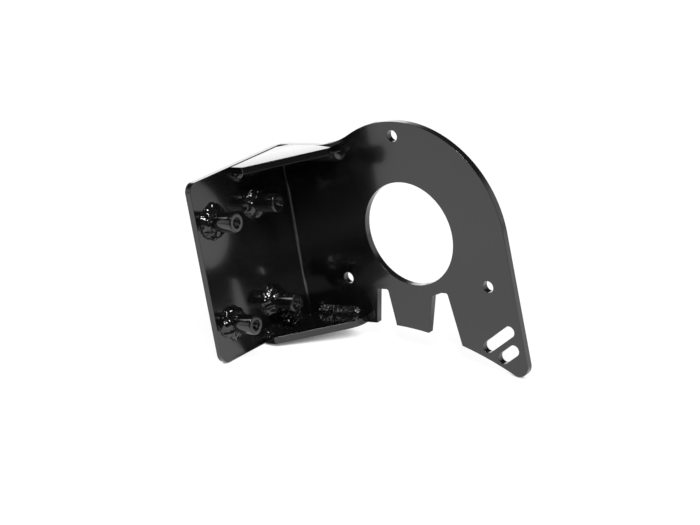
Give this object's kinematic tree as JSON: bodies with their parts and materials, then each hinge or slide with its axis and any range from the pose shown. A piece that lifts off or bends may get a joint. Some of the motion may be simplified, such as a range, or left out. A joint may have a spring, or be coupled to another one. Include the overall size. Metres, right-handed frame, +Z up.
{
  "type": "motor mounting bracket",
  "caption": "Folded steel motor bracket with a round-ended plate, large bore, welded corner gussets and threaded standoffs on the flange.",
  "frame": {"origin": "centre of the motor bore on the plate's front face", "axes": "+X along the motor plate away from the fold, +Z up along the fold, -Y out of the plate's front face towards the flange's free edge"},
  "size_m": [0.1944, 0.1045, 0.1831],
  "materials": {
    "coated_plate": "gloss black powder coat on folded steel sheet",
    "coated_standoff": "gloss black powder coat on turned steel",
    "coated_weld": "gloss black powder coat over weld beads"
  },
  "bodies": {
    "root": {"folded_plate": "coated_plate", "top_gusset": "coated_plate", "bottom_gusset": "coated_plate", "standoff_lower_outer": "coated_standoff", "standoff_lower_inner": "coated_standoff", "standoff_upper_outer": "coated_standoff", "standoff_upper_inner": "coated_standoff", "weld_lower_outer": "coated_weld", "weld_lower_inner": "coated_weld", "weld_upper_outer": "coated_weld", "weld_upper_inner": "coated_weld", "weld_top_flange": "coated_weld", "weld_bottom_flange": "coated_weld", "weld_top_plate": "coated_weld", "weld_bottom_plate": "coated_weld"}
  },
  "joints": []
}
